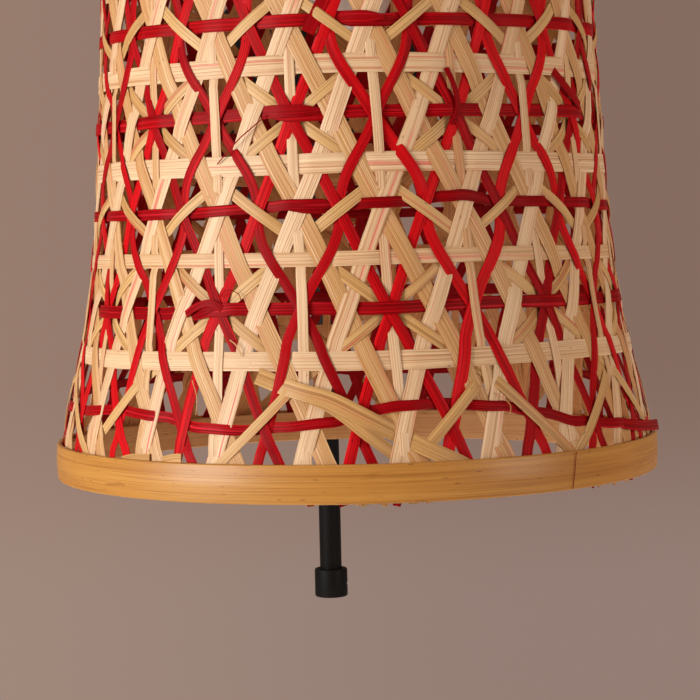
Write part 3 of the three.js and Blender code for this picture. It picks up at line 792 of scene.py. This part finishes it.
def bowed(family, x0):
    """The red diagonals through the B stars flatten towards them and stand steeper in between."""
    line = round(x0 - 0.5)
    is_loose = line % 2 == 1 if family == "P2" else line % 2 == 0
    if not is_loose:
        return None
    side = BOW * (1 if family == "M2" else -1)

    def bow(r):
        turn = math.pi * (r - 1)
        return side * (math.sin(turn) - 0.3 * math.sin(2 * turn)) * (1 - smooth((r - 3) / 0.5))
    return bow


# Family, name, width, thickness, sway, and the ranges of tone and of dye marks.
DIAGONALS = (
    ("P1", "natural_rising", WIDE, THICK, 0.9 * MM, (0.0, 0.35), (0.5, 1.0)),
    ("M1", "natural_falling", WIDE, THICK, 0.9 * MM, (0.65, 1.1), (0.0, 0.5)),
    ("P2", "red_rising", MEDIUM, THIN, 1.0 * MM, (0.0, 1.0), (0.1, 1.0)),
    ("M2", "red_falling", MEDIUM, THIN, 1.0 * MM, (0.0, 1.0), (0.1, 1.0)),
    ("V3", "narrow_upright", 4.5 * MM, THIN, 0.7 * MM, (0.1, 0.7), (0.0, 0.8)),
)


def weave():
    for number, (family, name, width, thickness, sway, tones, marks) in enumerate(DIAGONALS):
        look, slot = (RED, "red_splint") if name.startswith("red") else (NATURAL, "natural_splint")
        offset = 0.5 if family in ("P2", "M2") else 0.0
        for half in (0, 1):
            strips = Strips(100 + 10 * number + half)
            for n in range(half, CELLS, 2):
                x0 = n + offset
                spread = 0.14 if offset else 0.07
                own = width * strips.random.uniform(1 - spread, 1 + spread)
                bow = bowed(family, x0) if offset else None
                tone = strips.random.uniform(*tones)
                bleed = strips.random.uniform(*marks)
                diagonal(strips, family, x0, own, thickness, sway, bow, tone=tone, bleed=bleed)
            strips.piece(f"{name}_splints_{half + 1}", look, slot, ["weave_wall"])
    for family, name, first in (("M3", "narrow_falling", -1.5), ("P3", "narrow_rising", 1.5)):
        strips = Strips(ord(family[0]))
        for n in range(CELLS // 2):
            own = NARROW * strips.random.uniform(0.9, 1.08)
            rows = (TOP_ROW, SHORT.get((family, n), BOTTOM_ROW))
            diagonal(strips, family, first + 2 * n, own, THIN, 0.45 * MM, steeper_end(family), rows)
        strips.piece(f"{name}_splints", HONEY, "natural_splint", ["weave_wall"])
    horizontals()


# Width in mm, the column of the lapped joint, and heights in mm above the row by degrees from the front.
NATURAL_ROWS = (
    (8.6, 11.0, ((0, 0),)),
    (6.5, 12.4, ((0, 0),)),
    (9.0, 9.6, ((0, 0),)),
    (8.6, 13.2, ((0, 2.0),)),
    (7.6, 10.4, ((0, 0.5),)),
)
RED_ROWS = (
    (4.8, 11.6, ((-110, 0), (-71, -3.9), (-54, -1.5), (-43, -3.0), (-34, -7.1), (-25, -8.1), (-18, -6.7),
                 (-9.5, -5.1), (-2.4, -0.3), (3, 1.5), (10, 2.1), (22, 0.2), (30, -3.7), (40, -9.4),
                 (52, -13.0), (59, -15.7), (66, -17.3), (78, -17.3), (120, 0))),
    (5.8, -1.0, ((-60, -1.6), (-40, -1.2), (-33, 1.2), (-15, 1.0), (0, 0), (30, 0.6))),
    (5.0, 0.5, ((-60, 0), (-40, 0.5), (-20, 1.8), (-8, 1.6), (0, 2.8), (6, 3.2), (14.5, 5.4), (18, 6.0),
                (25.5, 3.4), (36, 2.7), (53, 1.5), (64, 0))),
    (5.8, 0.35, ((-60, 0.8), (-40, 1.2), (-20, 1.5), (0, 2.4), (45, 2.0), (75, 0.5))),
    (5.8, 1.2, ((0, 0),)),
    (5.6, 10.8, ((0, 0),)),
)


def horizontals():
    for n, (width, joint, heights) in enumerate(NATURAL_ROWS):
        strips = Strips(300 + n)
        horizontal(strips, "H1", 3.5 - n, width * MM, THICK, 0.5 * MM, joint, heights)
        strips.piece(f"natural_hoop_splint_{n + 1}", NATURAL, "natural_splint",
                     [f"natural_splint_ring_{n + 1}"])
    for n, (width, joint, heights) in enumerate(RED_ROWS):
        strips = Strips(400 + n)
        tone = strips.random.uniform(0.7, 1.0)
        horizontal(strips, "H2", 4 - n, width * MM, THIN, 0.7 * MM, joint, heights, twist=0.06, tone=tone)
        strips.piece(f"red_hoop_splint_{n + 1}", RED, "red_splint", [f"red_splint_ring_{n + 1}"])


# Loose pieces: width in mm, thickness in mm, then (degrees from the front, height mm, lift mm) points.
LOOSE_NATURAL = (
    (7.6, 0.5, ((-23.0, 56.0, 1.3), (-19.5, 52.6, -0.2), (-17.5, 51.0, 0.9), (-13.9, 48.5, 2.6),
                (-9.4, 45.3, 2.9), (-3.9, 38.3, 2.7), (-0.8, 34.0, 1.3), (2.7, 29.2, -0.8),
                (6.0, 24.9, 0.8), (8.9, 21.2, 1.4), (12.6, 16.5, 0.9), (15.0, 13.0, 0.0))),
    (5.6, 0.5, ((-13.0, 46.5, 1.9), (-9.8, 43.0, 1.9), (-6.5, 37.5, 2.1), (-3.3, 30.7, 2.0),
                (-0.8, 25.8, 0.9), (1.4, 21.5, -0.5), (3.4, 17.0, -0.3))),
    (3.4, 0.45, ((-52.0, 16.6, 0.4), (-49.0, 18.2, 1.0), (-44.2, 19.0, 1.6))),
    (4.2, 0.45, ((-41.5, 17.6, 0.4), (-39.0, 19.0, 1.4), (-36.9, 19.4, 2.0))),
    (0.5, 0.25, ((-28.9, 71.7, 1.6), (-27.2, 69.1, 2.6), (-26.2, 64.7, 1.8))),
    (0.4, 0.2, ((-36.4, 53.9, 1.4), (-34.5, 46.1, 3.0), (-34.7, 38.6, 1.6))),
    (0.4, 0.2, ((21.0, 46.0, 1.4), (23.5, 40.0, 2.8), (22.6, 33.0, 1.4))),
)
LOOSE_RED = (
    (0.55, 0.25, ((-22.0, 171.0, 1.2), (-25.0, 165.5, 2.4), (-27.7, 160.5, 3.2), (-32.9, 150.0, 1.6))),
    (3.4, 0.4, ((-39.5, 83.0, 1.0), (-36.6, 86.6, 2.2), (-33.4, 88.0, 2.6), (-31.0, 85.4, 1.6))),
    (0.4, 0.2, ((-31.5, 91.0, 1.6), (-29.5, 94.0, 3.4), (-27.4, 92.0, 2.6), (-27.0, 88.5, 1.4))),
    (0.35, 0.2, ((36.3, 17.0, 4.15), (35.8, 9.0, 4.35), (35.3, 0.6, 4.15))),
    (6.2, 0.4, ((-9.6, 222.0, 0.4), (-11.4, 214.0, 0.7), (-13.1, 206.8, 1.5))),
    (2.6, 0.35, ((15.6, 190.5, 0.8), (16.7, 184.1, 2.0), (17.4, 177.0, 2.6), (17.4, 171.6, 2.4),
                 (16.2, 165.5, 1.0))),
    (4.4, 0.4, ((44.4, 190.5, 1.0), (48.7, 182.5, 2.3), (54.0, 175.0, 1.9))),
    (5.2, 0.42, ((53.5, 26.4, 0.6), (58.5, 24.3, 2.2), (64.0, 22.9, 3.0), (70.0, 21.7, 3.8),
                 (75.0, 20.7, 4.6))),
)
FRAYS = ((-14, -4), (0, 7), (43, 58))   # degrees of the rim where splint ends show below it


def smooth_line(points, count):
    """Catmull-Rom curve through the points."""
    places = np.array([points[0], *points, points[-1]], float)
    result = []
    for t in np.linspace(0, len(points) - 1, count):
        i = min(int(t), len(points) - 2)
        u = t - i
        a, b, c, d = places[i:i + 4]
        result.append(0.5 * (2 * b + (c - a) * u + (2 * a - 5 * b + 4 * c - d) * u * u
                             + (3 * b - a - 3 * c + d) * u ** 3))
    return result


def loose_strip(strips, width, thickness, line, count=40, bleed=None):
    points, normals = [], []
    for degrees, h, lift in smooth_line(line, count):
        point, normal = wall_point(math.radians(degrees), h * MM, lift * MM)
        points.append(point)
        normals.append(normal)
    strips.add(points, normals, width * MM, thickness * MM, 0.9, bleed)


def loose_ends():
    for name, lines, look, slot, seed in (
            ("loose_natural_ends", LOOSE_NATURAL, HONEY, "natural_splint", 51),
            ("loose_red_ends", LOOSE_RED, RED, "red_splint", 76894)):
        strips = Strips(seed)
        for width, thickness, line in lines:
            loose_strip(strips, width, thickness, line, bleed=0.2)
        for low, high in FRAYS:
            for _ in range(max(3, round((high - low) / 9))):
                degrees = strips.random.uniform(low, high)
                reach = strips.random.uniform(-1.6, -0.5)
                lift = strips.random.uniform(-0.3, 0.5)
                lean = strips.random.uniform(-0.8, 0.8)
                loose_strip(strips, strips.random.uniform(1.6, 4.2), 0.4,
                            ((degrees, 5.0, lift), (degrees + lean, reach, lift)), 6)
        strips.piece(name, look, slot, ["weave_wall"])


# ---------------- turned pieces

def lathe_mesh(name, outline, segments, material, centre, axis="Z", closed=False, sharp=32):
    """Turns an outline of (radius, height) points about an axis through centre, with a grain map."""
    vertices, faces, maps = [], [], []
    rings = []
    for radius, height in outline:
        if radius < 1e-7:
            rings.append([len(vertices)])
            vertices.append((0.0, 0.0, height))
            continue
        rings.append(list(range(len(vertices), len(vertices) + segments)))
        for i in range(segments):
            angle = 2 * math.pi * i / segments + math.pi
            vertices.append((radius * math.sin(angle), -radius * math.cos(angle), height))
    across = [0.0]
    for (r0, h0), (r1, h1) in zip(outline, outline[1:] + outline[:1]):
        across.append(across[-1] + math.hypot(r1 - r0, h1 - h0))
    mean = max(r for r, h in outline)
    for j in range(len(outline) if closed else len(outline) - 1):
        low, high = rings[j], rings[(j + 1) % len(outline)]
        v0, v1 = across[j:j + 2]
        for i in range(segments):
            u0, u1 = (2 * math.pi * mean * n / segments for n in (i, i + 1))
            corners = [(low[i % len(low)], u0, v0), (low[(i + 1) % len(low)], u1, v0),
                       (high[(i + 1) % len(high)], u1, v1), (high[i % len(high)], u0, v1)]
            if len(low) == 1:
                corners = [corners[0], corners[2], corners[3]]
            elif len(high) == 1:
                corners = corners[:3]
            faces.append([c[0] for c in corners])
            maps.extend((c[1], c[2]) for c in corners)
    mesh = bpy.data.meshes.new(name)
    mesh.from_pydata(vertices, [], faces)
    mesh.uv_layers.new(name="grain").data.foreach_set("uv", np.array(maps, np.float32).ravel())
    turn = {"Z": Matrix.Identity(4), "Y": Matrix.Rotation(-math.pi / 2, 4, "X"),
            "X": Matrix.Rotation(math.pi / 2, 4, "Y")}[axis]
    mesh.transform(Matrix.Translation(centre) @ turn)
    mesh.materials.append(material)
    mesh.shade_smooth()
    mesh.set_sharp_from_angle(angle=math.radians(sharp))
    return mesh


def rounded(outline, radius, steps=3, closed=True):
    """Rounds the corners of an outline of (radius, height) points."""
    result = []
    count = len(outline)
    for i, corner in enumerate(outline):
        here = Vector(corner)
        if not closed and i in (0, count - 1):
            result.append(tuple(here))
            continue
        before = Vector(outline[i - 1]) - here
        after = Vector(outline[(i + 1) % count]) - here
        cut = min(radius, before.length * 0.45, after.length * 0.45)
        if cut < 1e-6 or here.x < 1e-7:
            result.append(tuple(here))
            continue
        start = here + before.normalized() * cut
        end = here + after.normalized() * cut
        for k in range(steps + 1):
            t = k / steps
            result.append(tuple(start * (1 - t) ** 2 + here * 2 * t * (1 - t) + end * t ** 2))
    return result


SHADE_CENTRE = Vector((SHADE_X, SHADE_Y, SHADE_Z))


def hoop(name, node, inner, outer, low, high, material, bulge):
    mid = (low + high) / 2
    corners = [(outer - bulge, low), (outer, mid), (outer - bulge, high), (inner, high), (inner, low)]
    outline = rounded(corners, 0.9 * MM, 4)
    mesh = lathe_mesh(name, outline, 192, material, SHADE_CENTRE, closed=True, sharp=40)
    placed(mesh, name, [node], "lamp")


def hoops():
    half_wall = 0.6 * MM
    gap = 0.3 * MM
    thick = HOOP_THICKNESS
    hoop("rim_hoop_outside", "rim_hoop_outer", RIM_R - thick, RIM_R, 0.0, RIM_HEIGHT, HOOP, 0.5 * MM)
    inner = wall_radius(0) - half_wall - gap
    hoop("rim_hoop_inside", "rim_hoop_inner", inner - thick, inner, 0.5 * MM, RIM_HEIGHT - 1 * MM,
         HOOP_INSIDE, 0.0)
    hoop("top_hoop_outside", "top_hoop_outer", TOP_HOOP_R - thick, TOP_HOOP_R, TOP_HOOP_LOW, SHADE_HEIGHT,
         HOOP, 0.4 * MM)
    inner = wall_radius(TOP_HOOP_LOW) - half_wall - gap
    hoop("top_hoop_inside", "top_hoop_inner", inner - thick, inner, TOP_HOOP_LOW + 0.5 * MM, SHADE_HEIGHT,
         HOOP_INSIDE, 0.0)


# ---------------- metal, plastic and glass

SLOT_LOOKS = {"black_metal": BLACK, "black_plastic": BLACK_PLASTIC, "zinc_steel": ZINC, "brass": BRASS,
              "nylon": NYLON, "opal_glass": OPAL, "hoop_bamboo": HOOP, "natural_splint": NATURAL,
              "red_splint": RED}
NODE_SLOT = {part["node"]: part["material_slot"] for part in frame["record"]["subparts"]}
NODE_BODY = {node: body for body, nodes in frame["record"]["behaviour"]["bodies"].items() for node in nodes}

# The CAD's own dimensions, in millimetres.
ROD_Y = -50
ROD_R = 6.5
ROD_BORE = 6.8                   # bore of the rings that grip the rod
COLLAR_R = 11
ARM_Z = 142
ARM_R = 6
LAMP_Y = -255
COVER_R = 75
COVER_DEPTH = 20
COVER_WALL = 1.6
STANDOFF_Z = 48
END_COLLAR_R = 9.8
HOLDER_R = 20
HOLDER_BORE = 20.3               # bore of the rings round the lampholder
HOLDER_BOTTOM = 57
HOLDER_TOP = 96
THREAD_PITCH = 2.4
BULB_R = 22.5
BULB_Z = 37
BULB_NECK_R = 12
BULB_NECK_Z = 62
GLASS = 1


def mm(outline):
    return [(r * MM, h * MM) for r, h in outline]


def turned(node, axis, centre, outline, closed=False, round_by=0.6, segments=48, more=None):
    """Replaces a CAD node with a finely turned one, in millimetres. more joins other outlines on."""
    name = node + "_turned"
    look = SLOT_LOOKS[NODE_SLOT[node]]
    meshes = []
    for along, shape, is_ring in [(axis, outline, closed)] + (more or []):
        shape = rounded(mm(shape), round_by * MM, 3, is_ring)
        meshes.append(lathe_mesh(name, shape, segments, look, Vector(centre) * MM, along, is_ring))
    mesh = joined(name, meshes) if len(meshes) > 1 else meshes[0]
    placed(mesh, name, [node], NODE_BODY[node])


def joined(name, meshes):
    whole_mesh = bmesh.new()
    for mesh in meshes:
        whole_mesh.from_mesh(mesh)
    result = bpy.data.meshes.new(name)
    whole_mesh.to_mesh(result)
    whole_mesh.free()
    result.materials.append(meshes[0].materials[0])
    return result


def ring(inner, outer, low, high):
    return [(outer, low), (outer, high), (inner, high), (inner, low)]


def socket_screw(node, axis, centre, low, high, r=2.2):
    """A grub screw with a socket in its outer end."""
    socket = r * 0.55
    outline = [(0, low), (r, low), (r, high), (socket, high), (socket, high - 1.4), (0, high - 1.6)]
    turned(node, axis, centre, outline, round_by=0.2, segments=24)


def wall_fixture():
    inside_r, inside = COVER_R - COVER_WALL, COVER_WALL - COVER_DEPTH
    dish = [(0, -COVER_DEPTH), (COVER_R, -COVER_DEPTH), (COVER_R, 0),
            (inside_r, 0), (inside_r, inside), (0, inside)]
    turned("wall_cover", "Y", (0, 0, 0), dish, round_by=6, segments=128)
    for side, x in (("left", -58), ("right", 58)):
        turned(f"cover_screw_{side}", "Y", (x, 0, 0),
               [(0, -21.4), (1.6, -21.4), (1.6, -22.9), (3.4, -22.9), (4.6, -21.7), (4.6, -20.3), (2, -20.3),
                (2, -0.3), (0, -0.3)], round_by=0.5, segments=32)
    turned("cord_bush", "Z", (0, -10, 0),
           [(5, 71), (5, 75.3), (7, 75.3), (7, 76.8), (6.2, 77.4), (3, 77.4), (3, 71)],
           closed=True, round_by=0.5, segments=32)
    for name, z in (("upper", STANDOFF_Z), ("lower", -STANDOFF_Z)):
        post = [(0, 7.5), (6, 7.5), (6, 26.7), (12, 26.7), (12, 29.7), (0, 29.7)]
        turned(f"standoff_{name}", "Z", (0, ROD_Y, z), ring(ROD_BORE, COLLAR_R, -8, 8), closed=True,
               round_by=1, more=[("Y", post, False)])
        socket_screw(f"clamp_screw_{name}", "X", (0, ROD_Y, z), 7.1, 11.1)
    centre = (0, ROD_Y, 0)
    turned("pivot_rod", "Z", centre, [(0, -301.5), (ROD_R, -301.5), (ROD_R, 169), (0, 169)], round_by=0.8)
    turned("rod_end_collar", "Z", centre, ring(ROD_BORE, END_COLLAR_R, -302, -285), closed=True,
           round_by=2.2)
    socket_screw("rod_end_screw", "X", (0, ROD_Y, -293.5), 7.1, END_COLLAR_R + 0.1)
    turned("hub_collar", "Z", centre, ring(ROD_BORE, COLLAR_R, 110, 122), closed=True, round_by=1)
    socket_screw("hub_collar_screw", "X", (0, ROD_Y, 116), 7.1, 11.1)
    turned("rod_top_cap", "Z", centre,
           [(0, 169.3), (ROD_BORE, 169.3), (ROD_BORE, 160.6), (10, 160.6), (10, 168.0), (7.5, 173.2),
            (3.5, 175.0), (0, 175.1)], round_by=1.8)


def swing_arm():
    centre = (0, ROD_Y, ARM_Z)
    turned("arm_hub", "Z", centre, ring(7, 13, -18, 18), closed=True, round_by=1.4,
           more=[("Y", ring(6.3, 9, -30, -11), True)])
    socket_screw("arm_set_screw", "Z", (0, -73, ARM_Z), 6.6, 9.1)
    turned("hub_washer", "Z", (0, ROD_Y, 0), ring(7, 12, 122.3, 123.7), closed=True, round_by=0.4)
    axis = (0, 0, ARM_Z)
    turned("arm_rod", "Y", axis, [(0, -238), (ARM_R, -238), (ARM_R, -66), (0, -66)], round_by=0.6)
    turned("arm_pin", "Y", axis,
           [(0, -272), (4, -272), (4, -246), (7.5, -246), (7.5, -238.3), (0, -238.3)], round_by=0.5)
    turned("arm_end_nut", "Y", axis,
           [(0, -275), (4.5, -274.3), (7.5, -269.4), (7.5, -264), (4.3, -264), (4.3, -272.3), (0, -272.3)],
           round_by=1.6)


def lamp():
    centre = (0, LAMP_Y, 0)
    turned("drop_rod", "Z", centre, [(0, 104), (5, 104), (5, 131), (0, 131)], round_by=0.5)
    turned("lampholder_cap", "Z", centre,
           [(HOLDER_R, 96.3), (HOLDER_R, 102), (17, 108), (9, 111), (9, 116), (5.3, 116), (5.3, 108.5),
            (14.4, 105.5), (18, 101.5), (18, 96.3)], closed=True, round_by=1.2, segments=64)
    turned("cord_grip", "Y", (0, LAMP_Y, 100.5),
           [(3, 16), (3, 20.4), (4.6, 20.4), (4.6, 24), (3.2, 28), (1.9, 28), (1.9, 16)],
           closed=True, round_by=0.4, segments=32)
    thread = [(HOLDER_R - 0.5 * (n % 2), HOLDER_BOTTOM + THREAD_PITCH / 2 * n) for n in range(15)]
    turned("lampholder_body", "Z", centre,
           [(0, 90), (14, 90), (14, HOLDER_BOTTOM), *thread, (HOLDER_R, 75.6), (27, 75.6), (27, 78),
            (HOLDER_R, 78), (HOLDER_R, HOLDER_TOP), (0, HOLDER_TOP)], round_by=0.5, segments=64)
    turned("shade_ring", "Z", centre, ring(HOLDER_BORE, 27, 66, 73), closed=True, round_by=1, segments=64)
    turned("spider_ring", "Z", centre, ring(HOLDER_BORE, 30, 73.3, 75.3), closed=True, round_by=0.4,
           segments=64)
    steps = 20
    neck = math.pi - math.asin(BULB_NECK_R / BULB_R)
    turns = [neck * n / steps for n in range(steps + 1)]
    outside = [(BULB_R * math.sin(turn), BULB_Z - BULB_R * math.cos(turn)) for turn in turns]
    inner = BULB_R - GLASS
    inside = [(r * inner / BULB_R, BULB_Z + (z - BULB_Z) * inner / BULB_R) for r, z in reversed(outside)]
    turned("bulb_glass", "Z", centre,
           [*outside, (BULB_NECK_R, BULB_NECK_Z), (BULB_NECK_R - GLASS, BULB_NECK_Z), *inside],
           round_by=0.3, segments=64)


# ---------------- CAD nodes that stay as they are

def dress_frame():
    for node, slot in NODE_SLOT.items():
        for place in frame["nodes"][node].material_slots:
            place.material = SLOT_LOOKS[slot]


# ---------------- build

make_camera()
make_lights()
make_stage()
dress_frame()
weave()
loose_ends()
hoops()
wall_fixture()
swing_arm()
lamp()
